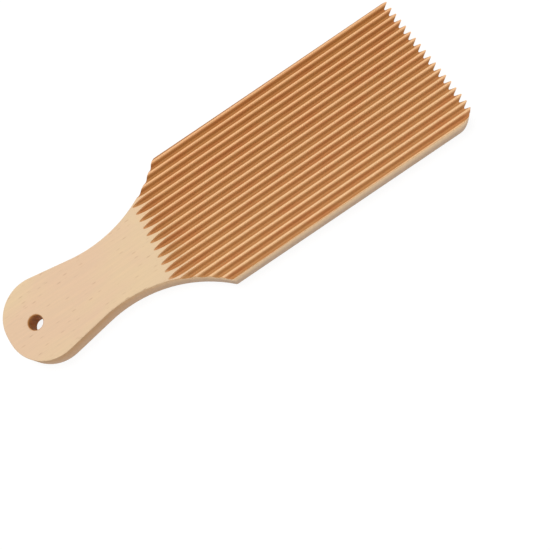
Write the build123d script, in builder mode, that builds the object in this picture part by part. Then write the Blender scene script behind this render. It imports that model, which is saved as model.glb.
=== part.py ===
from build123d import *
import os
from math import acos, atan2, cos, degrees, hypot, radians, sin, sqrt, tan

# Gnocchi board: one flat piece of beech with a shaped handle, a hanging hole
# and a blade whose top is cut into long V grooves that roll ridges into dough.
# The part's origin is in the middle of its length and width, on the underside, X runs
# along the board from the handle to the far end of the blade, and Z is up out of the
# grooved face.

# Board blank
board_length = 210.0
blade_width = 64.8
board_thickness = 9.5

# Handle outline: bowed end, its corners well rounded, straight flanks, and a hollow grip
# that sweeps out to the blade
head_end_radius = 42.0
head_corner_width = 41.4       # between the corners before they are rounded
head_corner_radius = 16.8
waist_from_end = 48.3
waist_width = 28.1
grip_radius = 56.5
sweep_radius = 58.5

# Worn and sanded corners
shoulder_corner_radius = 1.2
far_corner_radius = 2.0
worn_far_corner_radius = 9.0
arris_radius = 0.4

# Hanging hole
hang_hole_radius = 3.25
hang_hole_from_end = 13.2
hang_hole_chamfer = 0.4

# V grooves, cut by discs with a rounded tip
groove_pitch = 3.53
groove_width = 3.06
groove_angle = 80.0
groove_tip_radius = 0.62
groove_skew = 0.29

# Run-outs, where the cutter leaves the wood on the handle side
run_out_length = 8.6
run_out_reach = 17.3
run_out_step = 0.35

# Far end, cut back below the ridges so that each of them ends in a point
end_set_back = 2.3
end_heel_radius = 5.0

# How far every cutter, and the uncut blank, stands out past the finished wood
overrun = 1.0

os.makedirs("parts", exist_ok=True)

# Flank, the straight run from the head's corner that meets the grip's arc as a tangent
head_corner_y = head_corner_width / 2
head_corner_from_end = head_end_radius - sqrt(head_end_radius**2 - head_corner_y**2)
grip_centre_y = waist_width / 2 + grip_radius
corner_to_centre = hypot(waist_from_end - head_corner_from_end, grip_centre_y - head_corner_y)
centre_angle = atan2(waist_from_end - head_corner_from_end, grip_centre_y - head_corner_y)
flank_angle = centre_angle - acos(grip_radius / corner_to_centre)
flank_end = (
    waist_from_end - grip_radius * sin(flank_angle),
    grip_centre_y - grip_radius * cos(flank_angle),
)
flank_turn = degrees(flank_angle)

# Shoulder, where the sweep's arc meets the straight edge of the blade
sweep_centre_y = waist_width / 2 + sweep_radius
shoulder_drop = sweep_centre_y - blade_width / 2
shoulder_from_end = waist_from_end + sqrt(sweep_radius**2 - shoulder_drop**2)
sweep_turn = degrees(acos(shoulder_drop / sweep_radius))

# Planes whose X is measured from the handle's end
underside = Plane(origin=(-board_length / 2, 0, 0))
top_side = underside.offset(board_thickness)
side_view = Plane(origin=underside.origin, x_dir=(1, 0, 0), z_dir=(0, -1, 0))

# The groove's section: its walls would meet at the apex, and the tip's round lies above it
half_angle = radians(groove_angle / 2)
apex_depth = groove_width / 2 / tan(half_angle)
groove_depth = apex_depth - groove_tip_radius * (1 / sin(half_angle) - 1)
cutter_half_width = (apex_depth + overrun) * tan(half_angle)
cutter_radius = (run_out_length**2 + groove_depth**2) / (2 * groove_depth)

# One groove as its cutter makes it, with the tip of the run-out at the origin:
# the section run past the far end, and behind it the disc, rising out of the wood
groove_count = int(blade_width / groove_pitch) + 1
first_run_out = shoulder_from_end - run_out_reach
groove_length = board_length - first_run_out + groove_count * run_out_step + overrun

with BuildPart() as groove_cutter:
    with BuildSketch(Plane.YZ.offset(run_out_length)) as groove_section:
        with BuildLine():
            Polyline(
                (0, -apex_depth),
                (cutter_half_width, overrun),
                (-cutter_half_width, overrun),
                close=True,
            )
        make_face()
        fillet(groove_section.vertices().sort_by(Axis.Y)[0], groove_tip_radius)
    extrude(amount=groove_length)
    disc_axis = Axis((run_out_length, 0, cutter_radius - groove_depth), (0, 1, 0))
    revolve(groove_section.sketch, axis=disc_axis, revolution_arc=90)

# The blank is longer than the board until its far end is cut
blank_length = board_length + overrun
far_face = board_length - end_set_back
heel_from_end = far_face - end_heel_radius
end_lean = end_set_back / groove_depth

with BuildPart() as gnocchi_board:
    with BuildSketch(underside) as outline:
        with BuildLine():
            Line((head_corner_from_end, head_corner_y), flank_end)
            CenterArc((waist_from_end, grip_centre_y), grip_radius, -90 - flank_turn, flank_turn)
            CenterArc((waist_from_end, sweep_centre_y), sweep_radius, -90, sweep_turn)
            Line((shoulder_from_end, blade_width / 2), (blank_length, blade_width / 2))
            mirror(about=Plane.XZ)
            ThreePointArc(
                (head_corner_from_end, -head_corner_y),
                (0, 0),
                (head_corner_from_end, head_corner_y),
            )
            Line((blank_length, -blade_width / 2), (blank_length, blade_width / 2))
        make_face()
        fillet(outline.vertices().group_by(Axis.X)[0], head_corner_radius)
    extrude(amount=board_thickness)

    # Corners of the blade, then the whole outline's arris above and below
    upright_edges = gnocchi_board.edges().filter_by(Axis.Z).group_by(Axis.X)
    fillet(upright_edges[-1].sort_by(Axis.Y)[0], worn_far_corner_radius)
    fillet(upright_edges[-1].sort_by(Axis.Y)[-1], far_corner_radius)
    fillet(upright_edges[-2], shoulder_corner_radius)
    flat_sides = gnocchi_board.faces().filter_by(Axis.Z)
    fillet(flat_sides.edges(), arris_radius)

    # Far end, rounded off to the underside, and leaning out above the grooves' bottoms
    with BuildSketch(side_view):
        with BuildLine():
            CenterArc((heel_from_end, end_heel_radius), end_heel_radius, -90, 90)
            Polyline(
                (far_face, end_heel_radius),
                (far_face, board_thickness - groove_depth),
                (board_length + end_lean * overrun, board_thickness + overrun),
                (blank_length + end_lean * overrun, board_thickness + overrun),
                (blank_length + end_lean * overrun, -overrun),
                (heel_from_end, -overrun),
                (heel_from_end, 0),
            )
        make_face()
    extrude(amount=blade_width, both=True, mode=Mode.SUBTRACT)

    # Hanging hole, eased at both rims
    with BuildSketch(top_side):
        with Locations((hang_hole_from_end, 0)):
            Circle(hang_hole_radius)
    extrude(amount=-board_thickness, mode=Mode.SUBTRACT)
    hole_rims = gnocchi_board.edges().filter_by(GeomType.CIRCLE).filter_by(
        lambda rim: abs(rim.radius - hang_hole_radius) < hang_hole_chamfer / 2
    )
    chamfer(hole_rims, hang_hole_chamfer)

    # Grooves, each starting a little further back than its neighbour
    groove_starts = [
        top_side
        * Location(
            (
                first_run_out - number * run_out_step,
                blade_width / 2 - number * groove_pitch,
                0,
            ),
            (0, 0, groove_skew),
        )
        for number in range(groove_count)
    ]
    with Locations(*groove_starts):
        add(groove_cutter.part, mode=Mode.SUBTRACT)

gnocchi_board.part.label = "gnocchi_board"
export_step(gnocchi_board.part, "parts/gnocchi_board.step")
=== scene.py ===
import math

import bpy
from mathutils import Matrix, Vector


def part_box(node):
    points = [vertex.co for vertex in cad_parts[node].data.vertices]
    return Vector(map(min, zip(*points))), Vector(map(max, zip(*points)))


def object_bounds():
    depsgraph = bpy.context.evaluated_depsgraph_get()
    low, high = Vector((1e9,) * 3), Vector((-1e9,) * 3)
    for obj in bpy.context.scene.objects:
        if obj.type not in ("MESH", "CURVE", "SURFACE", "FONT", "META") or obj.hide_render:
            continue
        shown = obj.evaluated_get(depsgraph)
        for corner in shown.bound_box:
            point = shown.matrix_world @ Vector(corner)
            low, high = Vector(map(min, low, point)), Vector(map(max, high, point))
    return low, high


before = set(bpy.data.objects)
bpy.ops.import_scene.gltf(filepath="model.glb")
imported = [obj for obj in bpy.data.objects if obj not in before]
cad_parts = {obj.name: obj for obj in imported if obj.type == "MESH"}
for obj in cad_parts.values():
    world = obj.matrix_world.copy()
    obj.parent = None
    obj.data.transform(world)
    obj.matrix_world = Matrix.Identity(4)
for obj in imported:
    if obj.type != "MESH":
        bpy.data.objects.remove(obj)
cad_low, cad_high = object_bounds()

# Board
# One piece of bare beech, sawn to shape, with sanded edges. A row of discs has milled V
# grooves into its top, and the milled wood shows a deeper orange than the planed handle.
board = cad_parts["gnocchi_board"]
_, board_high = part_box("gnocchi_board")
board_top = board_high[2]

bare_wood_specular = 0.3
beech = bpy.data.materials.new("bare_beech")
beech.use_nodes = True
nodes, links = beech.node_tree.nodes, beech.node_tree.links
wood = nodes["Principled BSDF"]
wood.inputs["Specular IOR Level"].default_value = bare_wood_specular
place = nodes.new("ShaderNodeTexCoord").outputs["Object"]
normal = nodes.new("ShaderNodeNewGeometry").outputs["Normal"]


def feed(socket, value):
    """Link an output to a socket, or set the socket to a plain value."""
    if isinstance(value, bpy.types.NodeSocket):
        links.new(value, socket)
    else:
        socket.default_value = value


def separated(vector):
    """The X, Y and Z outputs of a vector."""
    axes = nodes.new("ShaderNodeSeparateXYZ")
    links.new(vector, axes.inputs["Vector"])
    return axes.outputs


def stretched(stretch):
    """Places on the board, multiplied along each axis to size a pattern."""
    mapping = nodes.new("ShaderNodeMapping")
    mapping.inputs["Scale"].default_value = stretch
    links.new(place, mapping.inputs["Vector"])
    return mapping.outputs["Vector"]


def noise(stretch, detail, distortion=0.0):
    """Smooth noise whose size comes from its stretch alone."""
    grain = nodes.new("ShaderNodeTexNoise")
    grain.inputs["Scale"].default_value = 1.0
    grain.inputs["Detail"].default_value = detail
    grain.inputs["Distortion"].default_value = distortion
    links.new(stretched(stretch), grain.inputs["Vector"])
    return grain.outputs["Fac"]


def ramp(value, start, stop, low=0.0, high=1.0):
    """Go from low to high, and no further, as a value goes from start to stop."""
    fade = nodes.new("ShaderNodeMapRange")
    fade.inputs["From Min"].default_value = start
    fade.inputs["From Max"].default_value = stop
    fade.inputs["To Min"].default_value = low
    fade.inputs["To Max"].default_value = high
    links.new(value, fade.inputs["Value"])
    return fade.outputs["Result"]


def joined(operation, first, second):
    """Two masks put together by a Math operation."""
    both_masks = nodes.new("ShaderNodeMath")
    both_masks.operation = operation
    links.new(first, both_masks.inputs[0])
    links.new(second, both_masks.inputs[1])
    return both_masks.outputs["Value"]


def blend(amount, first, second, how="MIX"):
    """Go from one colour to another. A Mix node's colour sockets are 6 and 7, and 2 out."""
    mixed = nodes.new("ShaderNodeMix")
    mixed.data_type = "RGBA"
    mixed.blend_type = how
    feed(mixed.inputs["Factor"], amount)
    feed(mixed.inputs[6], first)
    feed(mixed.inputs[7], second)
    return mixed.outputs[2]


spot = separated(place)
facing_up = separated(normal)["Z"]

# planed face: faint yellow and pink patches, and beech's short brown flecks
beech_yellow = (0.815, 0.598, 0.368, 1.0)
beech_pink = (0.805, 0.562, 0.370, 1.0)
beech_fleck = (0.480, 0.270, 0.150, 1.0)
patch_stretch = (28.0, 55.0, 55.0)
patch_edge = (0.38, 0.62)
fleck_stretch = (240.0, 1000.0, 500.0)
fleck_edge = (0.34, 0.12)
fleck_chance = (0.62, 0.85)
fleck_strength = 0.38

patches = ramp(noise(patch_stretch, detail=3.0, distortion=0.6), *patch_edge)
fleck_cells = nodes.new("ShaderNodeTexVoronoi")
fleck_cells.inputs["Scale"].default_value = 1.0
links.new(stretched(fleck_stretch), fleck_cells.inputs["Vector"])
cell_draw = separated(fleck_cells.outputs["Color"])["X"]
flecks = joined(
    "MULTIPLY",
    ramp(fleck_cells.outputs["Distance"], *fleck_edge),
    ramp(cell_draw, *fleck_chance, high=fleck_strength),
)
planed_wood = blend(flecks, blend(patches, beech_yellow, beech_pink), beech_fleck)

# flat ridges left between the grooves, more orange than the handle, palest at the near edge
ridge_far = (0.930, 0.515, 0.245, 1.0)
ridge_near = (0.960, 0.600, 0.315, 1.0)
far_to_near = (0.030, -0.030)
ridge_start = -0.034
ridge_full = -0.020

near = ramp(spot["Y"], *far_to_near)
on_ridges = ramp(spot["X"], ridge_start, ridge_full)
top_wood = blend(on_ridges, planed_wood, blend(near, ridge_far, ridge_near))

# sides, painted light and shade: brown shade under the handle's top edge and paler light
# below, the other way along the blade
blade_side_painted_light = (0.960, 0.665, 0.385, 1.0)
blade_side_painted_shade = (0.590, 0.412, 0.278, 1.0)
handle_side_painted_shade = (0.570, 0.330, 0.160, 1.0)
handle_side_painted_light = (0.690, 0.460, 0.290, 1.0)
blade_side_shading_rise = (board_top * 0.40, board_top * 0.90)
handle_side_shading_rise = (board_top * 0.10, board_top * 0.75)
handle_side_end = -0.065
blade_side_start = -0.010
top_to_upright = (0.35, 0.05)

handle_side_light_and_shade = blend(ramp(spot["Z"], *handle_side_shading_rise), handle_side_painted_light, handle_side_painted_shade)
blade_side_light_and_shade = blend(ramp(spot["Z"], *blade_side_shading_rise), blade_side_painted_shade, blade_side_painted_light)
along_side = ramp(spot["X"], handle_side_end, blade_side_start)
side_painted_light_and_shade = blend(along_side, handle_side_light_and_shade, blade_side_light_and_shade)
sawn_wood = blend(ramp(facing_up, *top_to_upright), top_wood, side_painted_light_and_shade)

# hanging hole: painted shade makes its wall darker than the face, as is the inner half of
# its eased rim
hole_painted_shade = (0.600, 0.270, 0.070, 1.0)
hole_place = (-0.0918, 0.0, 0.0)
hole_radius = 0.00325
rim_fade = (hole_radius + 0.0003, hole_radius + 0.0001)

flat_place = nodes.new("ShaderNodeCombineXYZ")
links.new(spot["X"], flat_place.inputs["X"])
links.new(spot["Y"], flat_place.inputs["Y"])
from_hole = nodes.new("ShaderNodeVectorMath")
from_hole.operation = "DISTANCE"
links.new(flat_place.outputs["Vector"], from_hole.inputs[0])
from_hole.inputs[1].default_value = hole_place
in_hole_shade = ramp(from_hole.outputs["Value"], *rim_fade)
drilled_wood = blend(in_hole_shade, sawn_wood, hole_painted_shade)

# milled grooves: painted shade, deeper in colour further down and where the discs came out
wall_far = (0.930, 0.510, 0.235, 1.0)
wall_near = (0.960, 0.590, 0.310, 1.0)
deep_far_painted_shade = (0.455, 0.190, 0.046, 1.0)
deep_near_painted_shade = (0.545, 0.258, 0.086, 1.0)
mottle_red = (0.950, 0.620, 0.520, 1.0)
wall_depth = 0.0002
shade_depth_start = 0.00014
shade_depth_full = 0.00062
upright_to_wall = (0.05, 0.15)
field_margin = 0.006
runout_shade_start = -0.018
runout_shade_full = -0.029
runout_shade_most = 0.75
mottle_stretch = (70.0, 280.0, 280.0)
mottle_edge = (0.42, 0.68)
mottle_strength = 0.4

below_top = ramp(spot["Z"], board_top, board_top - wall_depth)
off_sides = ramp(facing_up, *upright_to_wall)
in_field = ramp(spot["X"], ridge_start - field_margin, ridge_start)
milled = joined("MULTIPLY", joined("MULTIPLY", below_top, off_sides), in_field)
# painted shade: the grooves turn darker with depth below the top
depth_painted_shade = ramp(spot["Z"], board_top - shade_depth_start, board_top - shade_depth_full)
# painted shade: the grooves also turn darker towards the run-outs
runout_painted_shade = ramp(spot["X"], runout_shade_start, runout_shade_full, high=runout_shade_most)
groove_wood_and_shade = blend(
    joined("MAXIMUM", depth_painted_shade, runout_painted_shade),
    blend(near, wall_far, wall_near),
    blend(near, deep_far_painted_shade, deep_near_painted_shade),
)
mottle = ramp(
    noise(mottle_stretch, detail=2.0, distortion=0.4), *mottle_edge, high=mottle_strength
)
mottled_wood = blend(mottle, groove_wood_and_shade, mottle_red, "MULTIPLY")
milled_wood = blend(milled, drilled_wood, mottled_wood)

# fibres: long fine lines in the shade, roughness and relief of all the wood
fibre_stretch = (60.0, 1300.0, 900.0)
fibre_shade_edge = (0.35, 0.65)
fibre_shade = (0.97, 1.015)
fibre_roughness_edge = (0.3, 0.7)
fibre_roughness = (0.56, 0.70)
fibre_relief_strength = 0.25
fibre_height = 0.00008

fibres = noise(fibre_stretch, detail=3.0)
shade = ramp(fibres, *fibre_shade_edge, *fibre_shade)
roughness = ramp(fibres, *fibre_roughness_edge, *fibre_roughness)
relief = nodes.new("ShaderNodeBump")
relief.inputs["Strength"].default_value = fibre_relief_strength
relief.inputs["Distance"].default_value = fibre_height
links.new(fibres, relief.inputs["Height"])
links.new(blend(1.0, milled_wood, shade, "MULTIPLY"), wood.inputs["Base Color"])
links.new(roughness, wood.inputs["Roughness"])
links.new(relief.outputs["Normal"], wood.inputs["Normal"])

board.data.materials.clear()
board.data.materials.append(beech)

# Floor
# A plain white table top under the board, seamless to the edge of the view. The camera
# and reflections see it lit up to white, with the board's soft shadow still on it.
floor_size = 6.0
floor_colour = (0.80, 0.80, 0.80, 1.0)
floor_view_colour = (0.14, 0.14, 0.14, 1.0)
floor_view_glow = 0.90

bpy.ops.object.select_all(action="DESELECT")
bpy.ops.mesh.primitive_plane_add(size=floor_size, location=(0, 0, cad_low.z))
floor = bpy.context.object
floor.name = "floor"


def shown_in_view(tree, elsewhere, in_view):
    """Mix two shaders, so that the camera, reflections and glass see the second one."""
    path = tree.nodes.new("ShaderNodeLightPath")
    seen = path.outputs["Is Camera Ray"]
    for ray in ("Is Glossy Ray", "Is Transmission Ray"):
        either = tree.nodes.new("ShaderNodeMath")
        either.operation = "MAXIMUM"
        tree.links.new(seen, either.inputs[0])
        tree.links.new(path.outputs[ray], either.inputs[1])
        seen = either.outputs["Value"]
    mix = tree.nodes.new("ShaderNodeMixShader")
    tree.links.new(seen, mix.inputs[0])
    tree.links.new(elsewhere.outputs[0], mix.inputs[1])
    tree.links.new(in_view.outputs[0], mix.inputs[2])
    return mix.outputs["Shader"]


white_floor = bpy.data.materials.new("white_floor")
white_floor.use_nodes = True
floor_tree = white_floor.node_tree
floor_tree.nodes.clear()
plain_paint = floor_tree.nodes.new("ShaderNodeBsdfDiffuse")
plain_paint.inputs["Color"].default_value = floor_colour
shadow_paint = floor_tree.nodes.new("ShaderNodeBsdfDiffuse")
shadow_paint.inputs["Color"].default_value = floor_view_colour
glow = floor_tree.nodes.new("ShaderNodeEmission")
glow.inputs["Strength"].default_value = floor_view_glow
lit_paint = floor_tree.nodes.new("ShaderNodeAddShader")
floor_tree.links.new(shadow_paint.outputs["BSDF"], lit_paint.inputs[0])
floor_tree.links.new(glow.outputs["Emission"], lit_paint.inputs[1])
floor_surface = floor_tree.nodes.new("ShaderNodeOutputMaterial").inputs["Surface"]
floor_tree.links.new(shown_in_view(floor_tree, plain_paint, lit_paint), floor_surface)
floor.data.materials.append(white_floor)

# Lights
# A wide soft lamp high over the board's far edge, a weak low one in front of its near edge,
# and a dim white room all round, which the camera sees as a white backdrop.
lamp_distance = 1.2
lamp_size = 0.8
room_white = (1.0, 1.0, 1.0, 1.0)
room_strength = 0.35
backdrop_strength = 1.0

for name, azimuth, elevation, power in (
    ("key_lamp", 110, 71, 9.1),
    ("fill_lamp", 285, 12, 3.2),
):
    turn, rise = math.radians(azimuth), math.radians(elevation)
    direction = Vector((
        math.cos(turn) * math.cos(rise),
        math.sin(turn) * math.cos(rise),
        math.sin(rise),
    ))
    lamp_data = bpy.data.lights.new(name, "AREA")
    lamp_data.shape = "DISK"
    lamp_data.size = lamp_size
    lamp_data.energy = power
    lamp = bpy.data.objects.new(name, lamp_data)
    lamp.location = direction * lamp_distance
    lamp.rotation_mode = "QUATERNION"
    lamp.rotation_quaternion = (-direction).to_track_quat("-Z", "Y")
    bpy.context.scene.collection.objects.link(lamp)

world = bpy.data.worlds.new("white_studio")
world.use_nodes = True
room_tree = world.node_tree
room = room_tree.nodes["Background"]
room.inputs["Color"].default_value = room_white
room.inputs["Strength"].default_value = room_strength
backdrop = room_tree.nodes.new("ShaderNodeBackground")
backdrop.inputs["Color"].default_value = room_white
backdrop.inputs["Strength"].default_value = backdrop_strength
room_surface = room_tree.nodes["World Output"].inputs["Surface"]
room_tree.links.new(shown_in_view(room_tree, room, backdrop), room_surface)
bpy.context.scene.world = world
bpy.context.scene.view_settings.view_transform = "Standard"

# Camera
# It looks down on the board from about a third of a metre up, turned so that the board
# lies across the picture, handle at the lower left.
camera_place = Vector((-0.002426, -0.1344, 0.339232))
camera_right = Vector((0.82794, -0.54153, -0.1458)).normalized()
camera_up = Vector((0.56074, 0.79505, 0.23123)).normalized()
focal_length_px = 856.97
picture_width_px = 550
sensor_width = 36.0
nearest_view = 0.01

camera_data = bpy.data.cameras.new("camera")
camera_data.sensor_width = sensor_width
camera_data.lens = sensor_width * focal_length_px / picture_width_px
camera_data.clip_start = nearest_view
camera = bpy.data.objects.new("camera", camera_data)
camera_back = camera_right.cross(camera_up).normalized()
camera_axes = Matrix((camera_right, camera_up, camera_back)).transposed()
camera.location = camera_place
camera.rotation_mode = "QUATERNION"
camera.rotation_quaternion = camera_axes.to_quaternion()
bpy.context.scene.collection.objects.link(camera)
bpy.context.scene.camera = camera
